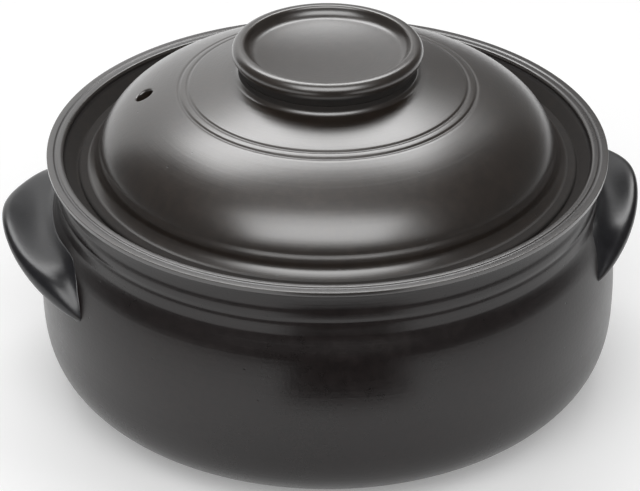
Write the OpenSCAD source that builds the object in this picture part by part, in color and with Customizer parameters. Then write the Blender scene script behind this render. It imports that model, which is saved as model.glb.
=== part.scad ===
// Lidded clay pot: a thrown pot with two ear lugs, and a loose domed lid with a disc knob.
// Millimetres, +Z up, origin on the table under the middle of the foot, lugs along X.

/* [Pot] */
// Diameter over the rim
rim_d = 228; // [200:1:244]
// Width of the rim's flat top
rim_w = 6.7; // [5.5:0.1:9]
// Height of the rim above the table
rim_h = 103.1; // [88:0.1:130]
// Diameter of the belly at its widest
belly_d = 238.8; // [230:0.2:250]
// Height of the belly's widest part
belly_h = 40.8; // [34:0.2:48]
// Diameter at which the underside turns level
floor_d = 111; // [80:1:130]
// Fullness of the lower belly, where 2 is an ellipse
belly_fullness = 3.28; // [2.4:0.02:4]
// Wall of the belly
wall = 6.5; // [4:0.1:9]
// Thickness of the floor above the foot
floor_t = 7.2; // [5:0.1:12]

/* [Foot] */
// Outer diameter of the flat foot ring
foot_d = 160; // [140:1:170]
// Width of the foot ring
foot_w = 9; // [5:0.5:14]
// Width of the turned groove inside the foot ring
foot_groove_w = 5; // [4:0.1:8]
// Depth of the turned groove inside the foot ring
foot_groove_depth = 1.5; // [0.5:0.1:1.8]

/* [Neck] */
// How far the rim overhangs the neck
rim_overhang = 4.9; // [3:0.1:7]
// Thickness of the lip at the rim's edge
lip_t = 2; // [1.6:0.1:3.5]
// Depth of the turned line along the rim's top
rim_line_depth = 0.3; // [0.1:0.05:0.5]
// Distance from the rim's top down to the neck's bead
bead_drop = 14.1; // [12:0.1:15]
// Radius of the neck's bead
bead_r = 1.5; // [0.8:0.1:1.8]
// Distance from the rim's top down to the neck's groove
groove_drop = 17.2; // [16.4:0.1:18]
// Distance from the rim's top down to the shoulder's edge
shoulder_drop = 21.9; // [21:0.1:28]
// How far the shoulder's edge stands out from the neck
shoulder_step = 4.4; // [3:0.1:5]
// Rounding of the shoulder's edge
shoulder_round = 5; // [3:0.1:5.5]

/* [Lid seat] */
// How far the gallery wall leans inwards from the rim to the ledge
gallery_lean = 5; // [3:0.1:6]
// Depth of the ledge below the rim's top
ledge_drop = 7.4; // [6:0.1:10]
// Width of the ledge
ledge_w = 8.8; // [7:0.1:11]
// Thickness of the ledge
ledge_t = 9; // [6:0.1:12]
// Clearance round the lid's flange
seat_gap = 0.9; // [0.5:0.1:2]

/* [Lid] */
// Thickness of the flange at its edge
flange_t = 3.4; // [2.8:0.1:4.5]
// Width of the flange outside the dome's foot
flange_w = 9.6; // [8.8:0.1:11]
// Height of the dome's crown above the ledge
dome_h = 40; // [32:0.1:52]
// Height of the dome's springing above the ledge
dome_foot_h = 4.8; // [4:0.1:5.6]
// Fullness of the dome across, where 2 is an ellipse
dome_fullness = 2.47; // [2:0.01:3]
// Thickness of the dome
lid_t = 4.7; // [4:0.1:7]
// Radius of the upper bead at the dome's foot
step_bead_r = 1.7; // [1.3:0.1:1.9]
// Radius of the lower bead on the flange
flange_bead_r = 2.4; // [2.1:0.1:2.6]
// Diameter of the inner turned groove
ring_d = 110.6; // [100:0.2:122]
// Distance between the two turned grooves
ring_pitch = 3.5; // [2.6:0.1:5]
// Depth of the turned grooves
ring_depth = 0.5; // [0.3:0.05:0.8]

/* [Steam vent] */
// Diameter of the steam vent
vent_d = 7.5; // [4:0.1:10]
// Distance of the vent inwards from the dome's foot
vent_inset = 17.4; // [14:0.1:22]
// Direction of the vent, counter-clockwise from the right lug
vent_turn = 171.6; // [0:0.1:360]

/* [Knob] */
// Diameter of the knob's disc
knob_d = 76.6; // [66:0.2:84]
// How far the knob's disc overhangs its neck
knob_overhang = 2.8; // [2:0.1:3.6]
// Height of the knob above its seat on the lid
knob_h = 9.9; // [9:0.1:18]
// Rounding of the disc's upper edge
knob_edge_r = 3.4; // [2.4:0.1:4]
// Depth of the dish in the knob's top
dish_depth = 3.2; // [1.8:0.1:4]
// Radius of the cove between the dome and the knob's seat
boss_cove_r = 9.6; // [6:0.1:11]

/* [Ear lugs] */
// Half the angle that a lug spans on the pot
lug_half_angle = 28.5; // [22:0.5:34]
// How far the left lug stands out from the pot's side
lug_stand_left = 19.1; // [12:0.1:28]
// How far the right lug stands out from the pot's side
lug_stand_right = 15.4; // [12:0.1:28]
// Drop of the left lug's edge below the rim's top, at its middle
lug_drop_left = 26.6; // [22:0.1:30]
// Drop of the right lug's edge below the rim's top, at its middle
lug_drop_right = 22.3; // [22:0.1:30]
// How much lower the edge is at the lug's ends
lug_sag = 16.3; // [10:0.1:18]
// Rounding of the lug's edge
lug_edge_r = 2.6; // [1.8:0.1:3.2]
// Height of the lug's root
lug_root_h = 30; // [26:0.5:32]
// Drop of the lug's root below the rim's top
lug_root_drop = 13.4; // [12:0.1:15]
// Depth of the thumb hollow in the lug's upper face
thumb_depth = 3.2; // [0:0.1:4.5]

/* [Hidden] */
$fn = 96;

glaze = [0.16, 0.145, 0.135];
lug_glaze = [0.17, 0.17, 0.19];

// Levels and radii of the pot
rim_r = rim_d/2;
belly_r = belly_d/2;
foot_r = foot_d/2;
neck_r = rim_r - rim_overhang;
shoulder_r = neck_r + shoulder_step;
shoulder_h = rim_h - shoulder_drop;
shoulder_angles = [18, 80];
groove_depth = 0.4;
groove_w = 1.2;
rim_inner_r = rim_r - rim_w;
rim_edge_r = 1.3;
rim_edge_angle = 215;
rim_line_r = rim_r - rim_w/2;
line_cutter_r = 0.9;
ledge_h = rim_h - ledge_drop;
gallery_r = rim_inner_r - gallery_lean;
mouth_r = gallery_r - ledge_w;
ledge_edge = 1.2;
foot_edge = 0.6;
cavity_fullness = 3.2;
floor_rise = 2.5;
wall_start = floor_t + floor_rise;
lower_wall_share = 0.45;
wall_split = wall_start + (belly_h - wall_start)*lower_wall_share;
collar_start = rim_h - groove_drop;
past_widest = 4;
belly_rise_power = 2.2;

// Levels and radii of the lid
flange_r = gallery_r - seat_gap;
flange_edge = 1.1;
dome_foot_r = flange_r - flange_w;
dome_tuck = 1.5;
dome_r = dome_foot_r + dome_tuck;
dome_base = ledge_h + dome_foot_h;
dome_rise = dome_h - dome_foot_h;
dome_steepness = 1.95;
dome_start_share = 0.51;
hollow_fullness = 2.4;
lid_hollow_r = dome_foot_r - lid_t;
dome_start = dome_base + dome_rise*dome_start_share;
step_bead_out = 1.4;
step_bead_up = 4.4;
step_bead_at = [dome_foot_r + step_bead_out, dome_base + step_bead_up];
flange_bead_out = 4.8;
flange_bead_sink = 0.2;
flange_bead_at = [dome_foot_r + flange_bead_out, ledge_h + flange_t - flange_bead_sink];
bead_fill = [0.8, 0.4];
vent_r = dome_foot_r - vent_inset;
ring_cutter_r = 1;

// Seat of the knob, at the top of the cove
knob_r = knob_d/2;
knob_neck_r = knob_r - knob_overhang;
cove_low_angle = 10;
cove_high_angle = 68;
cove_r = knob_neck_r + boss_cove_r;
cove_foot_r = cove_r - boss_cove_r*sin(cove_low_angle);
cove_h = dome_z(cove_foot_r) + boss_cove_r*cos(cove_low_angle);
seat_r = cove_r - boss_cove_r*sin(cove_high_angle);
seat_h = cove_h - boss_cove_r*cos(cove_high_angle);

// Levels of the knob
knob_top = seat_h + knob_h;
knob_under_r = 1.1;
knob_seam = 0.3;
knob_seam_h = 1.2;
knob_side = 0.2;
knob_crest_r = knob_r - knob_edge_r;
knob_edge_h = knob_top - knob_edge_r;
knob_cove_r = knob_r - knob_under_r - knob_neck_r;
dish_angle = 50;
dish_cove_r = dish_depth/(1 - cos(dish_angle)) - knob_edge_r;
dish_floor_r = knob_crest_r - (knob_edge_r + dish_cove_r)*sin(dish_angle);

// Form of the lugs: how their reach, edge and root fade from the middle to the ends
lug_embed = 10;
lug_sink = 2;
lug_end_sink = 0.2;
lug_taper_power = 2.04;
lug_droop_power = 1.26;
lug_edge_power = 0.25;
lug_root_power = 5;
lug_skin = 0.5;
lug_under_power = 1.5;
lug_edge_angle = 45;
thumb_skew_power = 0.8;

belly_steps = 14;
arc_steps = 6;
dome_steps = 24;
dome_spacing = 1.4;
lug_slices = 30;
lug_face_steps = 6;
lug_edge_steps = 4;

// Points on a quarter superellipse, turned from one angle to another
function quarter(centre_r, centre_z, across, up, fullness, from, to, steps) = [
    for (i = [0:steps])
        let (turn = from + (to - from)*i/steps)
        [centre_r + across*pow(cos(turn), 2/fullness), centre_z + up*pow(sin(turn), 2/fullness)]
];

// Points on a circular arc
function arc(centre_r, centre_z, radius, from, to, steps) = [
    for (i = [0:steps])
        let (turn = from + (to - from)*i/steps)
        [centre_r + radius*cos(turn), centre_z + radius*sin(turn)]
];

// Radius of the upper belly, from its widest part up to the shoulder
function upper_belly_r(z) =
    belly_r - (belly_r - shoulder_r)*pow(max(z - belly_h, 0)/(shoulder_h - belly_h), belly_rise_power);

// Height of the dome's outside at a distance from the axis
function dome_z(r) =
    dome_base + dome_rise*pow(1 - pow(min(r/dome_r, 1), dome_fullness), 1/dome_steepness);

// Outline of the pot's outside, from the foot to the lip
function outside_points() =
    let (
        level_r = floor_d/2,
        groove_out = foot_r - foot_w,
        groove_in = groove_out - foot_groove_w,
        start = acos(pow((foot_r + foot_edge - level_r)/(belly_r - level_r), belly_fullness/2)),
        turn_r = shoulder_r - shoulder_round*cos(shoulder_angles[0]),
        turn_h = shoulder_h - shoulder_round*sin(shoulder_angles[0]),
        lip_r = lip_t/2,
        cove = rim_overhang - lip_r
    )
    concat(
        [[0, 0], [groove_in, 0], [groove_in + foot_groove_depth, foot_groove_depth]],
        [[groove_out - foot_groove_depth, foot_groove_depth], [groove_out, 0], [foot_r, 0]],
        quarter(level_r, belly_h, belly_r - level_r, -belly_h, belly_fullness, start, 0, belly_steps),
        [for (i = [1:arc_steps])
            let (z = belly_h + (shoulder_h - belly_h)*i/arc_steps)
            [upper_belly_r(z), z]],
        arc(turn_r, turn_h, shoulder_round, shoulder_angles[0], shoulder_angles[1], arc_steps),
        [[neck_r - groove_depth, rim_h - groove_drop], [neck_r, rim_h - groove_drop + groove_w]],
        arc(neck_r + cove, rim_h - lip_t - cove, cove, 180, 90, arc_steps),
        arc(rim_r - lip_r, rim_h - lip_r, lip_r, -90, 90, arc_steps)
    );

// Outline of the pot's inside, from the rim's inner edge to the floor
function inside_points() =
    let (level_r = floor_d/2 - wall, hollow_r = belly_r - wall, hollow_h = ledge_h - ledge_t - belly_h)
    concat(
        arc(rim_inner_r + rim_edge_r, rim_h - rim_edge_r, rim_edge_r, 90, rim_edge_angle, arc_steps),
        [[gallery_r, ledge_h], [mouth_r + ledge_edge, ledge_h], [mouth_r, ledge_h - ledge_edge]],
        [for (i = [0:belly_steps])
            let (
                rise = cos(90*i/belly_steps),
                z = belly_h + hollow_h*rise,
                swell = pow(1 - pow(rise, cavity_fullness), 1/cavity_fullness)
            )
            [mouth_r + (upper_belly_r(z) - wall - mouth_r)*swell, z]],
        quarter(level_r, belly_h, hollow_r - level_r, floor_t - belly_h,
            belly_fullness, past_widest, 90, belly_steps),
        [[0, floor_t]]
    );

module neck_bead() {
    translate([neck_r - bead_r/2, rim_h - bead_drop]) circle(r = bead_r);
}

module pot_section() {
    difference() {
        union() {
            polygon(concat(outside_points(), inside_points()));
            neck_bead();
        }
        translate([rim_line_r, rim_h + line_cutter_r - rim_line_depth]) circle(r = line_cutter_r);
    }
}

// The part of a turned section between two levels, wider than anything on the pot
module band(low, high) {
    intersection() {
        children();
        translate([0, low]) square([belly_d + rim_d, high - low]);
    }
}

module pot_base() {
    color(glaze) rotate_extrude() band(0, wall_start) pot_section();
}

module pot_lower_wall() {
    color(glaze) rotate_extrude() band(wall_start, wall_split) pot_section();
}

module pot_upper_wall() {
    color(glaze) rotate_extrude() band(wall_split, collar_start) pot_section();
}

module pot_collar() {
    color(glaze) rotate_extrude() band(collar_start, rim_h) pot_section();
}

// The pot's outside filled in, to trim the lugs that are luted to it
module pot_filled() {
    rotate_extrude() {
        polygon(concat(outside_points(), [[0, rim_h]]));
        neck_bead();
    }
}

// Section of a lug at a fraction of its half span, with the upper face, the edge and the underside
function lug_section(u, stand, edge_h) =
    let (
        root_r = shoulder_r - lug_embed,
        face_r = shoulder_r - lug_sink,
        root_top = rim_h - lug_root_drop,
        root_low = root_top - lug_root_h,
        size = 1 - pow(abs(u), lug_taper_power),
        edge_r = lug_edge_r*pow(size, lug_edge_power),
        out_z = edge_h - lug_sag*pow(abs(u), lug_droop_power),
        end_r = upper_belly_r(out_z) - lug_end_sink,
        out_r = end_r + (upper_belly_r(edge_h) + stand - lug_edge_r - end_r)*size,
        top_z = max(root_top - lug_root_h*pow(abs(u), lug_root_power), out_z + edge_r + lug_skin),
        low_z = min(root_low, out_z - edge_r - lug_skin)
    )
    concat(
        [[root_r, low_z], [root_r, top_z]],
        [for (i = [0:lug_face_steps])
            let (t = i/lug_face_steps, hollow = thumb_depth*size*sin(180*pow(t, thumb_skew_power)))
            [face_r + (out_r - face_r)*t, top_z + (out_z + edge_r - top_z)*t - hollow]],
        arc(out_r, out_z, edge_r, lug_edge_angle, -90, lug_edge_steps),
        [for (i = [1:lug_face_steps])
            let (t = i/lug_face_steps)
            [out_r + (root_r - out_r)*t,
                out_z - edge_r + (low_z - out_z + edge_r)*pow(t, lug_under_power)]]
    );

// A lug as sections that fan round the pot's axis, closer together towards its ends
module lug(stand, edge_h) {
    spread = [for (i = [0:lug_slices]) sin(180*i/lug_slices - 90)];
    sections = [for (u = spread) lug_section(u, stand, edge_h)];
    count = len(sections[0]);
    points = [
        for (i = [0:lug_slices])
            let (turn = lug_half_angle*spread[i])
            for (p = sections[i]) [p[0]*cos(turn), p[0]*sin(turn), p[1]]
    ];
    sides = [
        for (i = [0:lug_slices - 1])
            for (j = [0:count - 1])
                let (a = i*count + j, b = i*count + (j + 1)%count)
                for (face = [[a, b, b + count], [a, b + count, a + count]]) face
    ];
    ends = [[for (j = [0:count - 1]) count - 1 - j], [for (j = [0:count - 1]) lug_slices*count + j]];
    difference() {
        polyhedron(points, concat(sides, ends));
        pot_filled();
    }
}

module handle_left() {
    color(lug_glaze) rotate(180) lug(lug_stand_left, rim_h - lug_drop_left);
}

module handle_right() {
    color(lug_glaze) lug(lug_stand_right, rim_h - lug_drop_right);
}

// Section of the lid, with its stepped beads, the turned grooves and the cove up to the knob's seat
module lid_section() {
    step_r = step_bead_at[0] + step_bead_r;
    flange_top = ledge_h + flange_t;
    flange_rise_r = flange_bead_at[0] + bead_fill[0]*flange_bead_r;
    flange_rise = flange_top + bead_fill[1]*flange_bead_r;
    difference() {
        union() {
            polygon(concat(
                [[lid_hollow_r, ledge_h], [flange_r, ledge_h]],
                arc(flange_r - flange_edge, flange_top - flange_edge, flange_edge, 0, 90, arc_steps),
                [[flange_rise_r, flange_rise], [step_r, flange_rise], [step_r, step_bead_at[1]]],
                [for (i = [0:dome_steps])
                    let (r = dome_foot_r + (cove_foot_r - dome_foot_r)*pow(i/dome_steps, dome_spacing))
                    [r, dome_z(r)]],
                arc(cove_r, cove_h, boss_cove_r, 270 - cove_low_angle, 270 - cove_high_angle, arc_steps),
                [[0, seat_h]],
                quarter(0, ledge_h, lid_hollow_r, dome_h - lid_t, hollow_fullness, 90, 0, dome_steps)
            ));
            translate(step_bead_at) circle(r = step_bead_r);
            translate(flange_bead_at) circle(r = flange_bead_r);
        }
        for (r = [ring_d/2, ring_d/2 + ring_pitch])
            translate([r, dome_z(r) + ring_cutter_r - ring_depth]) circle(r = ring_cutter_r);
    }
}

// The steam vent, bored straight down through the lid
module vent() {
    rotate(vent_turn)
        translate([vent_r, 0, ledge_h])
            cylinder(d = vent_d, h = dome_h);
}

module lid_flange() {
    color(glaze)
        difference() {
            rotate_extrude() band(ledge_h, dome_start) lid_section();
            vent();
        }
}

module lid_dome() {
    color(glaze)
        difference() {
            rotate_extrude() band(dome_start, seat_h) lid_section();
            vent();
        }
}

module lid_knob() {
    under_r = knob_r - knob_under_r;
    under_h = knob_edge_h - knob_side;
    dish_h = knob_top - dish_depth;
    color(glaze)
        rotate_extrude()
            polygon(concat(
                [[0, seat_h], [seat_r - knob_seam, seat_h], [knob_neck_r, seat_h + knob_seam_h]],
                arc(under_r, under_h - knob_under_r - knob_cove_r, knob_cove_r, 180, 90, arc_steps),
                arc(under_r, under_h, knob_under_r, -90, 0, arc_steps),
                arc(knob_crest_r, knob_edge_h, knob_edge_r, 0, 90 + dish_angle, 2*arc_steps),
                arc(dish_floor_r, dish_h + dish_cove_r, dish_cove_r, dish_angle - 90, -90, arc_steps),
                [[0, dish_h]]
            ));
}

pot_base();
pot_lower_wall();
pot_upper_wall();
pot_collar();
handle_left();
handle_right();
lid_flange();
lid_dome();
lid_knob();
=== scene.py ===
"""A lidded clay pot in dark satin glaze, dressed round its CAD frame."""

import math

import bpy
import numpy as np
from mathutils import Matrix, Vector


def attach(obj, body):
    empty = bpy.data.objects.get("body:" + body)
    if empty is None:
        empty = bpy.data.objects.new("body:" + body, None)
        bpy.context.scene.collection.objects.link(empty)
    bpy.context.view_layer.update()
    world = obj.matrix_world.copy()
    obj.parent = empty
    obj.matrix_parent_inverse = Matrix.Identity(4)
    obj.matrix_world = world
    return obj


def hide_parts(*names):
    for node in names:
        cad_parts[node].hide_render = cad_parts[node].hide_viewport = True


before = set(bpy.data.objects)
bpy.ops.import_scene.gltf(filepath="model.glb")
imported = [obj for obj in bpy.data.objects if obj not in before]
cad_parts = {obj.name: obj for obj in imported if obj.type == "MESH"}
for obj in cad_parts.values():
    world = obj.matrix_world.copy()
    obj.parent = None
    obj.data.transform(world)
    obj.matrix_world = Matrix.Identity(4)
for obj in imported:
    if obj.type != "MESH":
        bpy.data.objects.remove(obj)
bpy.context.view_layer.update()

MM = 0.001
TINY = 1e-9
WHITE = (1, 1, 1, 1)
BLACK = (0, 0, 0, 1)

# Pot sizes in millimetres, as in the CAD source
RIM_R = 114.0
RIM_W = 6.7
RIM_H = 103.1
BELLY_R = 119.4
BELLY_H = 40.8
FLOOR_R = 55.5
BELLY_FULLNESS = 3.28
BELLY_RISE = 2.2
WALL = 6.5
FLOOR_T = 7.2
FOOT_R = 80.0
FOOT_W = 9.0
FOOT_GROOVE_W = 5.0
FOOT_GROOVE_DEPTH = 1.5
FOOT_EDGE = 0.6
CAVITY_FULLNESS = 3.2
CAVITY_START = 1
NECK_R = RIM_R - 4.9
LIP_T = 2.0
LIP_UNDER_R = 0.3
LIP_EDGE_R = 0.15
RIM_LINE_DEPTH = 0.35
RIM_LINE_R = RIM_R - RIM_W / 2
LINE_CUTTER_R = 0.9
WAIST_R = NECK_R + 0.3
SHOULDER_R = NECK_R + 3.1
SHOULDER_H = RIM_H - 21.9
BELLY_TOP = 74.0
RIM_INNER_R = RIM_R - RIM_W
RIM_EDGE_R = 1.3
RIM_EDGE_ANGLE = 215
LEDGE_H = RIM_H - 7.4
LEDGE_T = 9.0
LEDGE_EDGE = 1.2
GALLERY_R = RIM_INNER_R - 5.0
MOUTH_R = GALLERY_R - 8.8

# The throwing rolls of shoulder and neck: how far each stands out from the neck, and its height
SHOULDER_STEPS = ((4.2, 77.0), (2.9, 79.6), (1.9, 81.7), (1.5, 86.0), (0.8, 87.2))
RIDGE_STEPS = ((1.2, 88.3), (1.0, 91.2), (0.3, 92.6))

# Lid sizes
FLANGE_R = GALLERY_R - 0.9
FLANGE_EDGE = 1.1
DOME_FOOT_R = FLANGE_R - 9.6
DOME_R = DOME_FOOT_R + 1.5
DOME_BASE = LEDGE_H + 4.8
DOME_RISE = 40.0 - 4.8
DOME_FULLNESS = 2.47
DOME_STEEPNESS = 1.95
HOLLOW_R = DOME_FOOT_R - 4.7
HOLLOW_H = 40.0 - 4.7
HOLLOW_FULLNESS = 2.4
OGEE_TILTS = (66, 76, 53, 86, 43, 27)
OGEE_RUNS = (0.5, 1.6, 3.2, 3.0, 3.7)
# Beyond this radius the lid's flange is dark matte clay: partly bare clay, partly painted shade where the rim
# shadows it.
FLANGE_CLAY_AND_SHADE_R = DOME_FOOT_R + 6.4
RING_R = 56.6
RING_PITCH = 3.5
RING_DEPTH = 0.32
RING_CUTTER_R = 1.0
CROWN_R = 62.0
CROWN_TOP_R = 40.0
CROWN_SWELL = 0.0022
VENT_R = 3.75
VENT_AT = DOME_FOOT_R - 17.4
VENT_TURN = 171.6
VENT_FLARE = 0.9
VENT_REACH = 15
VENT_EDGE_ANGLE = 50

# Knob sizes, with the cove of the CAD source that sets the height of its seat
KNOB_R = 38.3
KNOB_NECK_R = KNOB_R - 2.8
KNOB_H = 9.9
KNOB_EDGE_R = 3.4
KNOB_FOOT_R = 35.6
KNOB_LINE_H = 3.0
KNOB_LINE_DEPTH = 0.25
KNOB_UNDER_ANGLE = -38
DISH_DEPTH = 4.4
DISH_ANGLE = 76
DISH_SAG = 2.6
DISH_EDGE_R = 1.3
DISH_LAND = 0.8
COVE_R = 9.6
COVE_ANGLES = (10, 68)
NECK_COVE_R = 2.5
# From this angle on the cove, the foot under the knob is dark matte clay: painted shade under the knob's
# disc.
NECK_SHADE_START = 205

# Lug sizes
LUG_HALF_ANGLE = 28.5
LUG_REACH = {"left": 134.0, "right": 129.0}
LUG_EDGE_H = {"left": RIM_H - 26.6, "right": RIM_H - 22.3}
LUG_SAG = 16.3
LUG_EDGE_R = 2.6
LUG_ROOT_LOW = RIM_H - 43.4
LUG_ROOT_TOP = {"left": 82.0, "right": 84.5}
LUG_ROOT_END = {"left": 56.0, "right": 63.0}
LUG_ROOT_ANGLE = {"left": 27.2, "right": 29.3}
LUG_ROOT_BLUNT = 9.0
LUG_TAPER = 2.04
LUG_DROOP = 1.1
LUG_CREST = 0.15
LUG_EDGE_FADE = 0.25
LUG_UNDER = 1.5
LUG_SKIN = 0.5
LUG_SINK = 2.0
LUG_TIP_SINK = 0.2
LUG_RIM_SINK = 0.3
LUG_EMBED = 10.0
LUG_HOLLOW = 5.8
LUG_HOLLOW_SKEW = 0.6
LUG_HOLLOW_SPAN = 1.6
LUG_FILLET = 2.2
LUG_FILLET_SHARE = 0.8
LUG_SOFTNESS = 1.0
LUG_NOSE = {"left": 3.4, "right": 1.2}
LUG_NOSE_PLACE = 3
LUG_NOSE_BACK = 0.7
LUG_NOSE_LIFT = 0.6
LUG_WALL_LOW = BELLY_H - 5
LUG_WALL_HIGH = RIM_H - 6

# How far out of round the turned pieces are in millimetres, and how the lobes are turned in radians
POT_OVAL = 0.16
POT_OVAL_TURN = 0.7
POT_TRIANGLE = 0.08
POT_TWIST = 4
LID_OVAL = 0.12
LID_OVAL_TURN = -0.4
LID_PENTAGON = 0.05
KNOB_OVAL = 0.08
KNOB_OVAL_TURN = 1.9

# How fine lines and meshes are, in millimetres, degrees and numbers of points
FINE_STEP = 0.1
LUG_STEP = 0.2
LONGEST_STEP = 2.0
MOST_TURN = 5
SOFT_REACH = 4
SEGMENTS = 256
ARC_POINTS = 24
KNOB_EDGE_POINTS = 48
FLAT_POINTS = 60
SIDE_POINTS = 80
BOWL_POINTS = 160
DOME_POINTS = 900
LUG_FACE_POINTS = 40
LUG_SLICES = 72
LUG_ACROSS = 56
FEWEST_POINTS = 4

# How much the glaze rounds corners in millimetres, and the bend in radians per millimetre that is all worn
GLAZE_SOFTNESS = 0.3
NECK_SOFTNESS = 0.6
LIP_SOFTNESS = 0.15
WORN_BEND = 0.9

# Glaze and clay. A stop is a place on a ramp with its value there, and heights are in metres
COAT_IOR = 1.7
COAT_ROUGHNESS = 0.27
COAT_FROM = 0.0985
COAT_FADE = 0.002
CLOUD = {"Scale": 16, "Detail": 6, "Roughness": 0.6}
GRAIN = {"Scale": 260, "Detail": 5, "Roughness": 0.65}
PEEL = {"Scale": 700, "Detail": 2, "Roughness": 0.5}
TURNING = {"Scale": 420, "Detail": 4, "Roughness": 0.7}
PINHOLES = {"Scale": 210, "Randomness": 1}
PINHOLE_SIZE_STOPS = [(0.05, 1.0), (0.11, 0.0)]
PINHOLE_RARITY_STOPS = [(0.86, 0.0), (0.9, 1.0)]
PINHOLE_TONE = (0.004, 0.003, 0.003, 1)
WORN_STOPS = [(0.25, 0.0), (0.9, 1.0)]
CLOUD_PLACES = (0.3, 0.52, 0.72)
GRAIN_STOPS = [(0.35, 0.78), (0.65, 1.18)]
# Colours of the dark matte clay: bare clay on the foot and in the vent, painted shade on the gallery wall and
# round the knob, and both on the lid's flange.
CLAY_AND_SHADE_STOPS = [(0.35, (0.006, 0.004, 0.003)), (0.65, (0.011, 0.0075, 0.0055))]
CLAY_AND_SHADE_ROUGHNESS = 0.9
SATIN_PLACES = (0.3, 0.7)
SATIN_SPREAD = 0.04
PATCH_STOPS = [(0.4, 0.0), (0.7, 0.03)]
PEEL_DEPTH = 0.35
PINHOLE_DEPTH = 0.9
BUMP = {"Strength": 0.35, "Distance": 0.00025}

# The numbers of a mix node's sockets for colours
MIX_SHARE = 0
MIX_FIRST = 6
MIX_SECOND = 7
MIX_RESULT = 2

# The camera of the photograph, with its lens in millimetres and its place in metres
SENSOR_W = 36.0
LENS = 137.68
CLIP_NEAR = 0.05
CLIP_FAR = 50.0
CAMERA_AT = Vector((-0.0927, -0.8676, 0.5908))
CAMERA_RIGHT = Vector((0.99465, -0.10332, -0.00103))
CAMERA_UP = Vector((0.05504, 0.52138, 0.85155))

# The studio in metres: half its width, the heights of its walls, and a dim strip over the table in front,
# which darkens the table that the glaze mirrors
LAMP_AIM = Vector((0, 0, 0.08))
ROOM = 1.3
ROOM_H = 2.6
FRONT_WALL_H = 0.8
BACK_WALL_H = 1.2
BACK_MIDDLE = 0.0
BACK_CORNER = 0.3
STRIP_NEAR = (0.09, -0.258)
STRIP_FAR = (0.45, -ROOM)
STRIP_H = 0.002

# The floor, with its own glow to the eye near the pot and far from it, and the light of the surroundings
FLOOR_REACH = 12.0
FLOOR_TONE = (0.8, 0.8, 0.8, 1)
FLOOR_ROUGHNESS = 0.9
FLOOR_SPECULAR = 0.1
NEAR_FLOOR = 1.3
FAR_FLOOR = 4.0
NEAR_GLOW = 0.26
FAR_GLOW = 0.95
WORLD_FILL = 0.15
WORLD_SEEN = 1.0


def superellipse(centre_r, centre_z, across, up, fullness, start, end, steps):
    """Points on a quarter superellipse, turned from one angle to another in degrees."""
    turn = np.radians(np.linspace(start, end, steps))
    return np.stack([
        centre_r + across * np.abs(np.cos(turn)) ** (2 / fullness),
        centre_z + up * np.abs(np.sin(turn)) ** (2 / fullness),
    ], 1)


def arc(centre, radius, start, end, steps=ARC_POINTS):
    """Points on a circular arc, between two angles in degrees."""
    turn = np.radians(np.linspace(start, end, steps))
    return np.stack([centre[0] + radius * np.cos(turn), centre[1] + radius * np.sin(turn)], 1)


def dome_z(r):
    """Height of the lid's dome at a distance from the axis."""
    fall = np.minimum(np.asarray(r, float) / DOME_R, 1) ** DOME_FULLNESS
    return DOME_BASE + DOME_RISE * (1 - fall) ** (1 / DOME_STEEPNESS)


def crown_z(r):
    """Height of the lid's outside, with a low swelling round the knob."""
    r = np.asarray(r, float)
    return dome_z(r) + CROWN_SWELL * np.maximum(CROWN_R - np.maximum(r, CROWN_TOP_R), 0) ** 2


def upper_belly_r(z):
    """Radius of the pot's side from the belly up to the shoulder."""
    rise = np.maximum(np.asarray(z, float) - BELLY_H, 0) / (SHOULDER_H - BELLY_H)
    return BELLY_R - (BELLY_R - SHOULDER_R) * rise ** BELLY_RISE


def spaced(points, count):
    """The same line with a number of evenly spaced points."""
    points = np.asarray(points, float)
    keep = np.append(True, np.linalg.norm(np.diff(points, axis=0), axis=1) > TINY)
    points = points[keep]
    run = np.append(0, np.cumsum(np.linalg.norm(np.diff(points, axis=0), axis=1)))
    at = np.linspace(0, run[-1], count)
    return np.stack([np.interp(at, run, points[:, k]) for k in range(2)], 1)


def resample(points, step):
    """The same line with points about an even step apart."""
    length = np.linalg.norm(np.diff(points, axis=0), axis=1).sum()
    return spaced(points, max(int(length / step), 2) + 1)


def soften(points, softness, step=FINE_STEP):
    """Rounds every corner of a line a little, as a coat of glaze does. The ends stay where they are."""
    line = resample(points, step)
    reach = int(SOFT_REACH * softness / step)
    kernel = np.exp(-0.5 * (np.arange(-reach, reach + 1) * step / softness) ** 2)
    kernel /= kernel.sum()
    before = 2 * line[0] - line[reach:0:-1]
    after = 2 * line[-1] - line[-2:-reach - 2:-1]
    padded = np.concatenate([before, line, after])
    return np.stack([np.convolve(padded[:, k], kernel, "valid") for k in range(2)], 1)


def bends(line):
    """How sharply a fine line turns at each point, in radians per millimetre. Outward is positive."""
    step = np.diff(line, axis=0)
    heading = np.unwrap(np.arctan2(step[:, 1], step[:, 0]))
    length = np.linalg.norm(step, axis=1)
    turn = np.zeros(len(line))
    turn[1:-1] = np.diff(heading) / (0.5 * (length[1:] + length[:-1]) + TINY)
    return turn


def wear(line):
    """How worn each point of a line is, from one on a sharp edge to minus one in a sharp corner."""
    return np.clip(bends(line) / WORN_BEND, -1, 1)


def thin(line):
    """Indices of the points that a mesh needs: close together at bends and further apart elsewhere."""
    length = np.linalg.norm(np.diff(line, axis=0), axis=1)
    turn = np.abs(bends(line))
    kept = [0]
    bent = 0.0
    gone = 0.0
    for i in range(1, len(line)):
        bent += turn[i] * length[i - 1]
        gone += length[i - 1]
        if bent >= math.radians(MOST_TURN) or gone >= LONGEST_STEP or i == len(line) - 1:
            kept.append(i)
            bent = 0.0
            gone = 0.0
    return np.array(kept)


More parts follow.
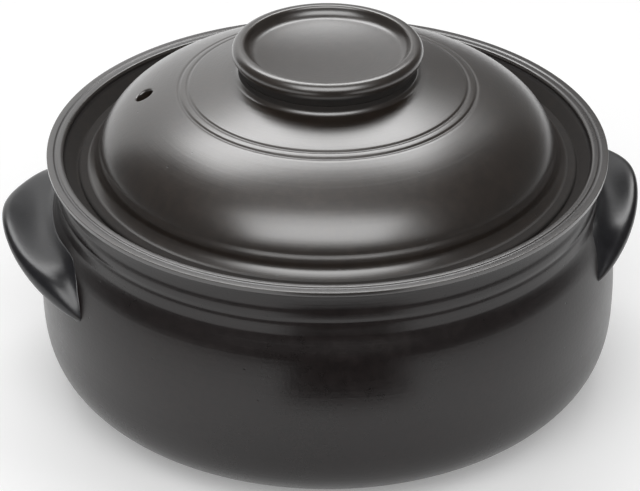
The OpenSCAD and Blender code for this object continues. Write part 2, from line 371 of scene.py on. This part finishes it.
def joined(parts):
    """One fine line from parts of (points, softness, flag), with the share of dark matte clay at each point,
    which is bare clay on some parts and painted shade on others.
    """
    lines, clay_and_shade = [], []
    for points, softness, clay_and_shade_flag in parts:
        line = soften(points, softness)
        if lines:
            line = line[1:]
        lines.append(line)
        clay_and_shade.append(np.full(len(line), float(clay_and_shade_flag)))
    return np.concatenate(lines), np.concatenate(clay_and_shade)


def add(name, data):
    """A new object in the scene."""
    made = bpy.data.objects.new(name, data)
    bpy.context.scene.collection.objects.link(made)
    return made


def mesh_object(name, points, faces, edge, clay_and_shade):
    """A smooth-shaded object from points in millimetres, with worn edge and the share of dark matte clay,
    bare clay and painted shade, kept at each point.
    """
    mesh = bpy.data.meshes.new(name)
    mesh.from_pydata((np.asarray(points) * MM).tolist(), [], faces)
    mesh.attributes.new("edge", "FLOAT", "POINT").data.foreach_set("value", np.asarray(edge, np.float32))
    mesh.attributes.new("clay_and_shade", "FLOAT", "POINT").data.foreach_set("value", np.asarray(clay_and_shade, np.float32))
    mesh.shade_smooth()
    mesh.update()
    return add(name, mesh)


def turned(name, parts, wobble):
    """Turns a section that starts and ends on the axis.

    Wobble says how far out of round the piece is at an angle and a height. It fades out under the knob.
    """
    line, clay_and_shade = joined(parts)
    line[0, 0] = line[-1, 0] = 0
    kept = thin(line)
    worn = wear(line)[kept]
    line, clay_and_shade = line[kept], clay_and_shade[kept]
    angle = np.linspace(0, 2 * math.pi, SEGMENTS, endpoint=False)
    inner = line[1:-1]
    r = inner[:, :1] + wobble(angle[None, :], inner[:, 1:]) * np.minimum(inner[:, :1] / KNOB_R, 1)
    z = np.broadcast_to(inner[:, 1:], r.shape)
    rings = np.stack([r * np.cos(angle), r * np.sin(angle), z], 2).reshape(-1, 3)
    points = np.concatenate([rings, [[0, 0, line[0, 1]], [0, 0, line[-1, 1]]]])
    start, end = len(rings), len(rings) + 1
    following = np.roll(np.arange(SEGMENTS), -1).tolist()
    faces = []
    for i in range(len(inner) - 1):
        low, high = i * SEGMENTS, (i + 1) * SEGMENTS
        faces += [(low + j, low + k, high + k, high + j) for j, k in enumerate(following)]
    last = (len(inner) - 1) * SEGMENTS
    faces += [(start, k, j) for j, k in enumerate(following)]
    faces += [(end, last + j, last + k) for j, k in enumerate(following)]
    edge, clay_and_shade = (np.concatenate([np.repeat(v[1:-1], SEGMENTS), v[[0, -1]]]) for v in (worn, clay_and_shade))
    return mesh_object(name, points, faces, edge, clay_and_shade)


def groove(line, radius, depth, cutter, top):
    """Cuts a shallow round groove into the upward side of a line, at a distance from the axis."""
    sunk = line.copy()
    centre = top + cutter - depth
    inside = np.abs(line[:, 0] - radius) < cutter
    floor = centre - np.sqrt(np.maximum(cutter ** 2 - (line[:, 0] - radius) ** 2, 0))
    sunk[inside, 1] = np.minimum(line[inside, 1], floor[inside])
    return sunk


def pot_foot():
    """The underside of the foot, from the middle to its outer edge."""
    groove_out = FOOT_R - FOOT_W
    groove_in = groove_out - FOOT_GROOVE_W
    return np.array([
        (0, 0), (groove_in, 0), (groove_in + FOOT_GROOVE_DEPTH, FOOT_GROOVE_DEPTH),
        (groove_out - FOOT_GROOVE_DEPTH, FOOT_GROOVE_DEPTH), (groove_out, 0), (FOOT_R, 0),
    ], float)


def pot_outside():
    """The pot's outside, from the edge of the foot to the underside of the lip."""
    across = BELLY_R - FLOOR_R
    share = (FOOT_R + FOOT_EDGE - FLOOR_R) / across
    start = math.degrees(math.acos(share ** (BELLY_FULLNESS / 2)))
    lower = superellipse(FLOOR_R, BELLY_H, across, -BELLY_H, BELLY_FULLNESS, start, 0, BOWL_POINTS)
    level = np.linspace(BELLY_H, BELLY_TOP, SIDE_POINTS)[1:]
    upper = np.stack([upper_belly_r(level), level], 1)
    steps = [(NECK_R + out, height) for out, height in SHOULDER_STEPS + RIDGE_STEPS]
    cove = RIM_R - LIP_UNDER_R - WAIST_R
    under = arc((WAIST_R + cove, RIM_H - LIP_T - cove), cove, 180, 90)
    return np.concatenate([[(FOOT_R, 0)], lower, upper, steps, under])


def pot_rim():
    """The lip's crisp outer edge, the rim's top with its turned line, and the rounded inner edge."""
    lip_low = arc((RIM_R - LIP_UNDER_R, RIM_H - LIP_T + LIP_UNDER_R), LIP_UNDER_R, -90, 0)
    lip_high = arc((RIM_R - LIP_EDGE_R, RIM_H - LIP_EDGE_R), LIP_EDGE_R, 0, 90)
    top_r = np.linspace(RIM_R - LIP_EDGE_R, RIM_INNER_R + RIM_EDGE_R, FLAT_POINTS)
    top = np.stack([top_r, np.full(FLAT_POINTS, RIM_H)], 1)
    top = groove(top, RIM_LINE_R, RIM_LINE_DEPTH, LINE_CUTTER_R, RIM_H)
    edge = arc((RIM_INNER_R + RIM_EDGE_R, RIM_H - RIM_EDGE_R), RIM_EDGE_R, 90, RIM_EDGE_ANGLE)
    return np.concatenate([lip_low, lip_high, top, edge])


def pot_gallery():
    """The gallery wall under the rim and the ledge that carries the lid."""
    turn = math.radians(RIM_EDGE_ANGLE)
    start_r = RIM_INNER_R + RIM_EDGE_R * (1 + math.cos(turn))
    start_z = RIM_H - RIM_EDGE_R * (1 - math.sin(turn))
    return np.array([
        (start_r, start_z), (GALLERY_R, LEDGE_H),
        (MOUTH_R + LEDGE_EDGE, LEDGE_H), (MOUTH_R, LEDGE_H - LEDGE_EDGE),
    ])


def pot_inside():
    """The pot's inside, from the edge of the mouth to the middle of the floor."""
    rise = np.cos(np.linspace(0, math.pi / 2, SIDE_POINTS))
    level = BELLY_H + (LEDGE_H - LEDGE_T - BELLY_H) * rise
    swell = (1 - rise ** CAVITY_FULLNESS) ** (1 / CAVITY_FULLNESS)
    upper = np.stack([MOUTH_R + (upper_belly_r(level) - WALL - MOUTH_R) * swell, level], 1)
    level_r = FLOOR_R - WALL
    across = BELLY_R - WALL - level_r
    drop = FLOOR_T - BELLY_H
    lower = superellipse(level_r, BELLY_H, across, drop, BELLY_FULLNESS, CAVITY_START, 90, BOWL_POINTS)
    return np.concatenate([[(MOUTH_R, LEDGE_H - LEDGE_EDGE)], upper, lower, [(0, FLOOR_T)]])


def knob_seat():
    """Height of the knob's seat on the lid, where the CAD's cove meets the knob."""
    low, high = np.radians(COVE_ANGLES)
    foot_r = KNOB_NECK_R + COVE_R * (1 - math.sin(low))
    return float(dome_z(foot_r)) + COVE_R * (math.cos(low) - math.cos(high))


def ogee():
    """The lid's steps from the dome's foot down to the flange: hollow, roll and cove, drawn by their tilt."""
    lengths = np.concatenate([[0], np.cumsum(OGEE_RUNS)])
    run = np.arange(0, lengths[-1], FINE_STEP)
    tilt = np.radians(np.interp(run, lengths, OGEE_TILTS))
    r = DOME_FOOT_R + np.cumsum(np.cos(tilt)) * FINE_STEP
    z = float(dome_z(DOME_FOOT_R)) - np.cumsum(np.sin(tilt)) * FINE_STEP
    return np.stack([r, z], 1)


def lid_parts():
    """The lid's section, from the crown of its hollow round the flange and up to the knob's seat."""
    seat_h = knob_seat()
    hollow = superellipse(0, LEDGE_H, HOLLOW_R, HOLLOW_H, HOLLOW_FULLNESS, 90, 0, BOWL_POINTS)
    hollow[0, 0] = 0
    steps = ogee()[::-1]
    glazed = steps[:, 0] < FLANGE_CLAY_AND_SHADE_R
    edge = arc((FLANGE_R - FLANGE_EDGE, steps[0, 1] - FLANGE_EDGE), FLANGE_EDGE, 0, 90)
    under = [(HOLLOW_R, LEDGE_H), (FLANGE_R, LEDGE_H)]
    flange = np.concatenate([under, edge, steps[~glazed], steps[glazed][:1]])
    centre_r = KNOB_FOOT_R + NECK_COVE_R
    slope = float(crown_z(centre_r) - crown_z(centre_r - 1))
    tilt = math.atan(-slope)
    foot_r = centre_r - NECK_COVE_R * math.sin(tilt)
    centre = (centre_r, float(crown_z(foot_r)) + NECK_COVE_R * math.cos(tilt))
    r = np.linspace(DOME_FOOT_R, foot_r, DOME_POINTS)
    dome = np.stack([r, crown_z(r)], 1)
    for ring in (RING_R, RING_R + RING_PITCH):
        dome = groove(dome, ring, RING_DEPTH, RING_CUTTER_R, float(crown_z(ring)))
    cove = arc(centre, NECK_COVE_R, 270 - math.degrees(tilt), NECK_SHADE_START)
    glazed_top = np.concatenate([steps[glazed], dome, cove])
    neck = arc(centre, NECK_COVE_R, NECK_SHADE_START, 180)
    neck = np.concatenate([neck, [(KNOB_FOOT_R, seat_h), (0, seat_h)]])
    # The flange and the foot under the knob are dark matte clay: the flange partly bare clay and partly
    # painted shade, the foot painted shade under the knob's disc.
    return [
        (hollow, GLAZE_SOFTNESS, False),
        (flange, GLAZE_SOFTNESS, True),
        (glazed_top, GLAZE_SOFTNESS, False),
        (neck, GLAZE_SOFTNESS, True),
    ]


def knob_parts():
    """The knob's section: its seat and undercut side, then the disc's edge and the dish."""
    seat_h = knob_seat()
    top = seat_h + KNOB_H
    crest = (KNOB_R - KNOB_EDGE_R, top - KNOB_EDGE_R)
    turn = math.radians(DISH_ANGLE)
    brim_r = crest[0] - DISH_LAND
    dish_r = DISH_DEPTH / (1 - math.cos(turn)) - DISH_EDGE_R
    floor_r = brim_r - (DISH_EDGE_R + dish_r) * math.sin(turn)
    lean = math.degrees(math.atan(2 * DISH_SAG / floor_r))
    dish = np.linspace(floor_r, 0, FLAT_POINTS)
    edge = arc(crest, KNOB_EDGE_R, KNOB_UNDER_ANGLE, 90, KNOB_EDGE_POINTS)
    line_r = KNOB_FOOT_R + (edge[0, 0] - KNOB_FOOT_R) * KNOB_LINE_H / (edge[0, 1] - seat_h)
    line = (line_r - KNOB_LINE_DEPTH, seat_h + KNOB_LINE_H)
    side = [(0, seat_h), (KNOB_FOOT_R, seat_h), line, edge[0]]
    over = np.concatenate([
        edge,
        arc((brim_r, top - DISH_EDGE_R), DISH_EDGE_R, 90, 90 + DISH_ANGLE),
        arc((floor_r, top - DISH_DEPTH + dish_r), dish_r, DISH_ANGLE - 90, -90 + lean),
        np.stack([dish, top - DISH_DEPTH - DISH_SAG * (1 - (dish / floor_r) ** 2)], 1),
    ])
    # The knob's seat and undercut side are dark matte clay: painted shade under the disc.
    return [(side, GLAZE_SOFTNESS, True), (over, GLAZE_SOFTNESS, False)]


def pot_wobble(angle, z):
    """A thrown pot is a little out of round, more so towards its rim."""
    share = z / RIM_H
    oval = POT_OVAL * share * np.cos(2 * angle + POT_OVAL_TURN)
    return oval + POT_TRIANGLE * np.cos(3 * angle + POT_TWIST * share)


def lid_wobble(angle, z):
    """The lid is out of round by less than its clearance in the gallery."""
    return LID_OVAL * np.cos(2 * angle + LID_OVAL_TURN) + LID_PENTAGON * np.cos(5 * angle)


def knob_wobble(angle, z):
    """The knob was turned last and is nearly true."""
    return KNOB_OVAL * np.cos(2 * angle + KNOB_OVAL_TURN)


def no_wobble(angle, z):
    """A cutter is round."""
    return 0 * angle * z


def lug_outline(u, side):
    """Section of a lug at a share of its half span: root, thumb hollow, rounded edge and underside."""
    size = 1 - abs(u) ** LUG_TAPER
    nose = LUG_NOSE[side] * math.sin(math.pi * abs(u) ** LUG_NOSE_PLACE)
    edge_r = LUG_EDGE_R * size ** LUG_EDGE_FADE + nose
    fall = (math.hypot(u, LUG_CREST) - LUG_CREST) / (math.hypot(1, LUG_CREST) - LUG_CREST)
    out_z = LUG_EDGE_H[side] - LUG_SAG * fall ** LUG_DROOP
    end_r = float(upper_belly_r(out_z)) - LUG_TIP_SINK
    out_r = end_r + (LUG_REACH[side] - LUG_EDGE_R - end_r) * size - LUG_NOSE_BACK * nose
    out_z += LUG_NOSE_LIFT * nose
    share = min(abs(u) * LUG_HALF_ANGLE / LUG_ROOT_ANGLE[side], 1)
    stand = (LUG_ROOT_TOP[side] - LUG_ROOT_END[side]) * math.sqrt(1 - share ** LUG_ROOT_BLUNT)
    top_z = max(LUG_ROOT_END[side] + stand, out_z + edge_r + LUG_SKIN)
    low_z = min(LUG_ROOT_LOW, out_z - edge_r - LUG_SKIN)
    root_r = SHOULDER_R - LUG_EMBED
    face_r = SHOULDER_R - LUG_SINK
    t = np.linspace(0, 1, LUG_FACE_POINTS)
    hollow = LUG_HOLLOW * size ** LUG_HOLLOW_SPAN * np.sin(math.pi * t ** LUG_HOLLOW_SKEW)
    face = np.stack([face_r + (out_r - face_r) * t, top_z + (out_z + edge_r - top_z) * t - hollow], 1)
    lip = arc((out_r, out_z), edge_r, 90, -90)
    under = np.stack([
        out_r + (root_r - out_r) * t,
        out_z - edge_r + (low_z - out_z + edge_r) * t ** LUG_UNDER,
    ], 1)
    return np.concatenate([[(root_r, top_z)], face, lip, under])


def lug(name, side, wall, facing):
    """A lug as sections that fan round the pot and flow into its side with a fillet."""
    wall_z, wall_r = wall
    spread = np.sin(np.linspace(-math.pi / 2, math.pi / 2, LUG_SLICES + 1))[1:-1]
    place = np.arange(LUG_ACROSS)
    sunk = np.where((place == 0) | (place == LUG_ACROSS - 1), LUG_RIM_SINK, 0)
    rows, worn = [], []
    for u in spread:
        line = soften(lug_outline(u, side), LUG_SOFTNESS, LUG_STEP)
        proud = line[:, 0] - np.interp(line[:, 1], wall_z, wall_r)
        out = np.nonzero(proud > 0)[0]
        if len(out) < FEWEST_POINTS:
            continue
        line = spaced(line[out[0]:out[-1] + 1], LUG_ACROSS)
        proud = np.maximum(line[:, 0] - np.interp(line[:, 1], wall_z, wall_r), 0)
        peak = int(proud.argmax())
        fillet = min(LUG_FILLET, LUG_FILLET_SHARE * proud[peak])
        near = np.minimum(proud, fillet)
        flare = fillet - np.sqrt(np.maximum(2 * fillet * near - near ** 2, 0))
        z = line[:, 1] + np.where(place < peak, flare, -flare)
        r = np.interp(z, wall_z, wall_r) + proud - sunk
        turn = facing + math.radians(LUG_HALF_ANGLE) * u
        rows.append(np.stack([r * math.cos(turn), r * math.sin(turn), z], 1))
        worn.append(wear(np.stack([r, z], 1)))
    points = np.concatenate(rows)
    faces = []
    following = np.roll(place, -1).tolist()
    for i in range(len(rows) - 1):
        low, high = i * LUG_ACROSS, (i + 1) * LUG_ACROSS
        faces += [(low + j, low + k, high + k, high + j) for j, k in enumerate(following)]
    faces.append(tuple(range(LUG_ACROSS))[::-1])
    faces.append(tuple(range(len(points) - LUG_ACROSS, len(points))))
    return mesh_object(name, points, faces, -np.concatenate(worn), np.zeros(len(points)))


def vent_cutter():
    """A round cutter for the steam vent, square to the dome, with a flare that rounds the outer edge."""
    mouth_r = VENT_R + VENT_FLARE
    inner = [(0, -VENT_REACH), (VENT_R, -VENT_REACH)]
    flare = arc((mouth_r, -VENT_FLARE), VENT_FLARE, 180, 90)
    profile = np.concatenate([inner, flare, [(mouth_r, VENT_REACH), (0, VENT_REACH)]])
    made = turned("vent_cutter", [(profile, LIP_SOFTNESS, True)], no_wobble)
    slope = float(dome_z(VENT_AT + 0.5) - dome_z(VENT_AT - 0.5))
    turn = math.radians(VENT_TURN)
    out = Vector((math.cos(turn), math.sin(turn), 0))
    made.location = (out * VENT_AT + Vector((0, 0, float(dome_z(VENT_AT))))) * MM
    made.rotation_mode = "QUATERNION"
    made.rotation_quaternion = (Vector((0, 0, 1)) - slope * out).to_track_quat("Z", "Y")
    return made


def cut(target, cutter):
    """Takes the cutter out of the target and removes the cutter."""
    step = target.modifiers.new("vent", "BOOLEAN")
    step.operation = "DIFFERENCE"
    step.solver = "EXACT"
    step.object = cutter
    bpy.context.view_layer.update()
    ready = target.evaluated_get(bpy.context.evaluated_depsgraph_get())
    target.data = bpy.data.meshes.new_from_object(ready)
    target.modifiers.clear()
    target.data.set_sharp_from_angle(angle=math.radians(VENT_EDGE_ANGLE))
    bpy.data.objects.remove(cutter)


def fill(tree, made, inputs):
    """Sets a shader node's inputs. Each is a value or another node's output."""
    for key, value in inputs.items():
        if isinstance(value, bpy.types.NodeSocket):
            tree.links.new(value, made.inputs[key])
        else:
            made.inputs[key].default_value = value


def node(tree, kind, inputs=None, **settings):
    """Adds a shader node with its settings and inputs."""
    made = tree.nodes.new(kind)
    for key, value in settings.items():
        setattr(made, key, value)
    fill(tree, made, inputs or {})
    return made


def ramp(tree, value, stops):
    """A colour ramp with stops of (place, grey or colour)."""
    made = node(tree, "ShaderNodeValToRGB", {"Fac": value})
    elements = made.color_ramp.elements
    while len(elements) < len(stops):
        elements.new(0.5)
    for element, (place, tone) in zip(elements, stops):
        element.position = place
        element.color = (*tone, 1) if isinstance(tone, tuple) else (tone, tone, tone, 1)
    return made.outputs["Color"]


def mix(tree, share, first, second, blend="MIX"):
    """Mixes two colours by a share."""
    inputs = {MIX_SHARE: share, MIX_FIRST: first, MIX_SECOND: second}
    return node(tree, "ShaderNodeMix", inputs, data_type="RGBA", blend_type=blend).outputs[MIX_RESULT]


def sums(tree, first, second, operation="ADD"):
    """One step of arithmetic on two values."""
    return node(tree, "ShaderNodeMath", {0: first, 1: second}, operation=operation).outputs[0]


def mapped(tree, value, low, high, start=0.0, end=1.0, **settings):
    """A value that goes from low to high while another goes from start to end."""
    inputs = {"Value": value, "From Min": start, "From Max": end, "To Min": low, "To Max": high}
    return node(tree, "ShaderNodeMapRange", inputs, **settings).outputs["Result"]


def noise(tree, place, scales):
    """Noise over an object's own coordinates."""
    return node(tree, "ShaderNodeTexNoise", {"Vector": place, **scales}).outputs["Fac"]


def length_of(tree, vector):
    """The length of a vector."""
    return node(tree, "ShaderNodeVectorMath", {0: vector}, operation="LENGTH").outputs["Value"]


def new_material(name):
    """A new material, with its node tree and its shader."""
    made = bpy.data.materials.new(name)
    made.use_nodes = True
    return made, made.node_tree, made.node_tree.nodes["Principled BSDF"]


def glaze(name, tones, worn_tone, roughness, ior, turned_by, lines, coat, coat_from=None):
    """Satin glaze over dark clay, with worn edges, pinholes, turning lines and a soft orange peel.

    The lines run round the pot by height or by radius. The coat may start at a height in metres.
    """
    made, tree, shader = new_material(name)
    place = node(tree, "ShaderNodeTexCoord").outputs["Object"]
    cloud = noise(tree, place, CLOUD)
    grain = noise(tree, place, GRAIN)
    peel = noise(tree, place, PEEL)
    cell = node(tree, "ShaderNodeTexVoronoi", {"Vector": place, **PINHOLES})
    rare = node(tree, "ShaderNodeSeparateColor", {"Color": cell.outputs["Color"]}).outputs[0]
    near = ramp(tree, cell.outputs["Distance"], PINHOLE_SIZE_STOPS)
    pinhole = sums(tree, near, ramp(tree, rare, PINHOLE_RARITY_STOPS), "MULTIPLY")
    x, y, z = node(tree, "ShaderNodeSeparateXYZ", {"Vector": place}).outputs
    run = z
    if turned_by == "radius":
        run = length_of(tree, node(tree, "ShaderNodeCombineXYZ", {"X": x, "Y": y}).outputs[0])
    turning = node(tree, "ShaderNodeTexNoise", {"W": run, **TURNING}, noise_dimensions="1D").outputs["Fac"]
    clay_and_shade = node(tree, "ShaderNodeAttribute", attribute_name="clay_and_shade").outputs["Fac"]
    edge = node(tree, "ShaderNodeAttribute", attribute_name="edge").outputs["Fac"]
    tone = ramp(tree, cloud, list(zip(CLOUD_PLACES, tones)))
    body = mix(tree, 1, tone, ramp(tree, grain, GRAIN_STOPS), "MULTIPLY")
    body = mix(tree, ramp(tree, edge, WORN_STOPS), body, (*worn_tone, 1))
    body = mix(tree, pinhole, body, PINHOLE_TONE)
    # Dark matte clay where the mesh marks it: bare clay on some parts, painted shade on others.
    body = mix(tree, clay_and_shade, body, ramp(tree, grain, CLAY_AND_SHADE_STOPS))
    satin = (roughness - SATIN_SPREAD, roughness + SATIN_SPREAD)
    satin = ramp(tree, cloud, list(zip(SATIN_PLACES, satin)))
    rough = sums(tree, satin, ramp(tree, grain, PATCH_STOPS))
    thick = mapped(tree, clay_and_shade, coat, 0.0)
    if coat_from:
        level = mapped(tree, z, 0.0, 1.0, coat_from, coat_from + COAT_FADE)
        thick = sums(tree, thick, level, "MULTIPLY")
    relief = sums(tree, peel, PEEL_DEPTH, "MULTIPLY")
    relief = sums(tree, relief, sums(tree, turning, lines, "MULTIPLY"))
    relief = sums(tree, relief, sums(tree, pinhole, PINHOLE_DEPTH, "MULTIPLY"), "SUBTRACT")
    bump = node(tree, "ShaderNodeBump", {"Height": relief, **BUMP})
    fill(tree, shader, {
        "Base Color": body,
        "Roughness": mapped(tree, clay_and_shade, rough, CLAY_AND_SHADE_ROUGHNESS),
        "IOR": ior,
        "Coat Weight": thick,
        "Coat IOR": COAT_IOR,
        "Coat Roughness": COAT_ROUGHNESS,
        "Normal": bump.outputs["Normal"],
    })
    return made


def paint(made, material):
    """Gives an object one material."""
    made.data.materials.clear()
    made.data.materials.append(material)


def softbox(name, azimuth, elevation, distance, width, height, radiance, fade):
    """A soft lamp that looks at the pot, with ends that fade out over a share of its width.

    Azimuth 0 is behind the pot and 90 to its right.
    """
    lamp = bpy.data.lights.new(name, "AREA")
    lamp.shape = "RECTANGLE"
    lamp.size = width
    lamp.size_y = height
    lamp.energy = math.pi * width * height * radiance
    lamp.use_nodes = True
    tree = lamp.node_tree
    spot = node(tree, "ShaderNodeNewGeometry").outputs["Parametric"]
    across = node(tree, "ShaderNodeSeparateXYZ", {"Vector": spot}).outputs[0]
    off = sums(tree, sums(tree, across, 0.5, "SUBTRACT"), 0.0, "ABSOLUTE")
    glow = mapped(tree, off, 1.0, 0.0, 0.5 - fade, 0.5, interpolation_type="SMOOTHSTEP")
    fill(tree, tree.nodes["Emission"], {"Strength": glow})
    made = add(name, lamp)
    a, e = math.radians(azimuth), math.radians(elevation)
    toward = Vector((math.sin(a) * math.cos(e), math.cos(a) * math.cos(e), math.sin(e)))
    made.location = LAMP_AIM + toward * distance
    made.rotation_mode = "QUATERNION"
    made.rotation_quaternion = toward.to_track_quat("Z", "Y")


def upright(start, end, height):
    """Corners of a sheet that stands on the floor between two points."""
    return [(*start, 0), (*end, 0), (*end, height), (*start, height)]


def lying(near, far, height):
    """Corners of a level sheet between two edges, each given by its half width and its y."""
    return [(-near[0], near[1], height), (*near, height), (*far, height), (-far[0], far[1], height)]


def sheet(name, corners):
    """A flat object with one face."""
    mesh = bpy.data.meshes.new(name)
    mesh.from_pydata(corners, [], [tuple(range(len(corners)))])
    return add(name, mesh)


def studio_wall(name, corners, radiance):
    """A dim wall of the studio that glows with its own light instead of being lit, and which only the glaze's
    reflections see.
    """
    made = sheet(name, corners)
    dim, tree, shader = new_material(name)
    fill(tree, shader, {
        "Base Color": BLACK,
        "Specular IOR Level": 0,
        "Emission Color": WHITE,
        "Emission Strength": radiance,
    })
    paint(made, dim)
    made.visible_camera = False
    made.visible_diffuse = False
    made.visible_shadow = False
    made.visible_transmission = False


def seen_directly(tree):
    """One for the camera and for what the glaze mirrors, nothing for the light that falls on the object."""
    path = node(tree, "ShaderNodeLightPath").outputs
    mirrored = sums(tree, path["Is Glossy Ray"], path["Is Transmission Ray"], "MAXIMUM")
    return sums(tree, path["Is Camera Ray"], mirrored, "MAXIMUM")


# The turned pieces and the lugs
outside = pot_outside()
pot = turned("pot_thrown", [
    (pot_foot(), GLAZE_SOFTNESS, True),
    (outside, NECK_SOFTNESS, False),
    (pot_rim(), LIP_SOFTNESS, False),
    # The gallery is dark matte clay: painted shade on the wall that lies in shadow under the rim.
    (pot_gallery(), GLAZE_SOFTNESS, True),
    (pot_inside(), GLAZE_SOFTNESS, False),
], pot_wobble)
lid = turned("lid_turned", lid_parts(), lid_wobble)
cut(lid, vent_cutter())
knob = turned("lid_knob_turned", knob_parts(), knob_wobble)
side_r, side_z = soften(outside, NECK_SOFTNESS).T
beside = (side_z > LUG_WALL_LOW) & (side_z < LUG_WALL_HIGH)
pot_side = (side_z[beside], side_r[beside])
ear_left = lug("ear_left", "left", pot_side, math.pi)
ear_right = lug("ear_right", "right", pot_side, 0.0)

# The glazes
pot_glaze = glaze(
    "pot_glaze",
    tones=[(0.0062, 0.0038, 0.0036), (0.0082, 0.0052, 0.0050), (0.0105, 0.0070, 0.0064)],
    worn_tone=(0.016, 0.011, 0.008),
    roughness=0.28,
    ior=1.55,
    turned_by="height",
    lines=0.35,
    coat=1.0,
    coat_from=COAT_FROM,
)
lug_glaze = glaze(
    "lug_glaze",
    tones=[(0.006, 0.006, 0.0075), (0.008, 0.008, 0.010), (0.011, 0.0105, 0.0125)],
    worn_tone=(0.016, 0.013, 0.012),
    roughness=0.32,
    ior=1.55,
    turned_by="height",
    lines=0.1,
    coat=0.12,
)
lid_glaze = glaze(
    "lid_glaze",
    tones=[(0.0125, 0.0080, 0.0054), (0.0168, 0.0110, 0.0075), (0.022, 0.0147, 0.0102)],
    worn_tone=(0.026, 0.018, 0.013),
    roughness=0.32,
    ior=1.6,
    turned_by="radius",
    lines=0.6,
    coat=1.0,
)

for piece, body, slot, material, nodes in (
    (pot, "pot", "pot_glaze", pot_glaze, ("pot_base", "pot_lower_wall", "pot_upper_wall", "pot_collar")),
    (ear_left, "pot", "lug_glaze", lug_glaze, ("handle_left",)),
    (ear_right, "pot", "lug_glaze", lug_glaze, ("handle_right",)),
    (lid, "lid", "lid_glaze", lid_glaze, ("lid_flange", "lid_dome")),
    (knob, "lid", "lid_glaze", lid_glaze, ("lid_knob",)),
):
    paint(piece, material)
    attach(piece, body)
    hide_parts(*nodes)

# The camera
camera = add("camera", bpy.data.cameras.new("camera"))
camera.data.sensor_width = SENSOR_W
camera.data.lens = LENS
camera.data.clip_start = CLIP_NEAR
camera.data.clip_end = CLIP_FAR
turn = Matrix((CAMERA_RIGHT, CAMERA_UP, CAMERA_RIGHT.cross(CAMERA_UP))).transposed()
camera.matrix_world = Matrix.Translation(CAMERA_AT) @ turn.to_4x4()
bpy.context.scene.camera = camera

# The lamps and what stands round the pot to be mirrored in it
softbox("softbox_rear", azimuth=-2, elevation=59.7, distance=1.6, width=1.75, height=0.68,
        radiance=4.6, fade=0.15)
softbox("softbox_front", azimuth=190, elevation=51.5, distance=1.6, width=2.0, height=1.05,
        radiance=3.0, fade=0.08)
for name, corners, radiance in (
    ("wall_front", upright((-ROOM, -ROOM), (ROOM, -ROOM), FRONT_WALL_H), 0.06),
    ("wall_back", upright((-ROOM, ROOM), (BACK_MIDDLE, ROOM), BACK_WALL_H), 0.8),
    ("middle_back", upright((BACK_MIDDLE, ROOM), (BACK_CORNER, ROOM), BACK_WALL_H), 0.45),
    ("corner_back", upright((BACK_CORNER, ROOM), (ROOM, ROOM), BACK_WALL_H), 0.2),
    ("wall_left", upright((-ROOM, -ROOM), (-ROOM, ROOM), ROOM_H), 0.12),
    ("wall_right", upright((ROOM, -ROOM), (ROOM, ROOM), ROOM_H), 0.1),
    ("ceiling", lying((ROOM, -ROOM), (ROOM, ROOM), ROOM_H), 0.3),
    # A dim sheet over the table in front, seen only in reflections: it darkens the table that the belly
    # mirrors.
    ("dark_strip_in_reflections", lying(STRIP_NEAR, STRIP_FAR, STRIP_H), 0.04),
):
    studio_wall(name, corners, radiance)

# The pale floor
floor = sheet("floor", lying((FLOOR_REACH, -FLOOR_REACH), (FLOOR_REACH, FLOOR_REACH), 0))
floor_paint, floor_tree, floor_shader = new_material("floor")
away = length_of(floor_tree, node(floor_tree, "ShaderNodeTexCoord").outputs["Object"])
floor_glow = mapped(floor_tree, away, NEAR_GLOW, FAR_GLOW, NEAR_FLOOR, FAR_FLOOR,
                    interpolation_type="SMOOTHSTEP")
fill(floor_tree, floor_shader, {
    "Base Color": FLOOR_TONE,
    "Roughness": FLOOR_ROUGHNESS,
    "Specular IOR Level": FLOOR_SPECULAR,
    "Emission Color": WHITE,
    "Emission Strength": sums(floor_tree, seen_directly(floor_tree), floor_glow, "MULTIPLY"),
})
paint(floor, floor_paint)

# The white surroundings
world = bpy.data.worlds.new("studio")
bpy.context.scene.world = world
world.use_nodes = True
sky = world.node_tree
strength = mapped(sky, seen_directly(sky), WORLD_FILL, WORLD_SEEN)
fill(sky, sky.nodes["Background"], {"Color": WHITE, "Strength": strength})

bpy.context.scene.view_settings.view_transform = "Standard"
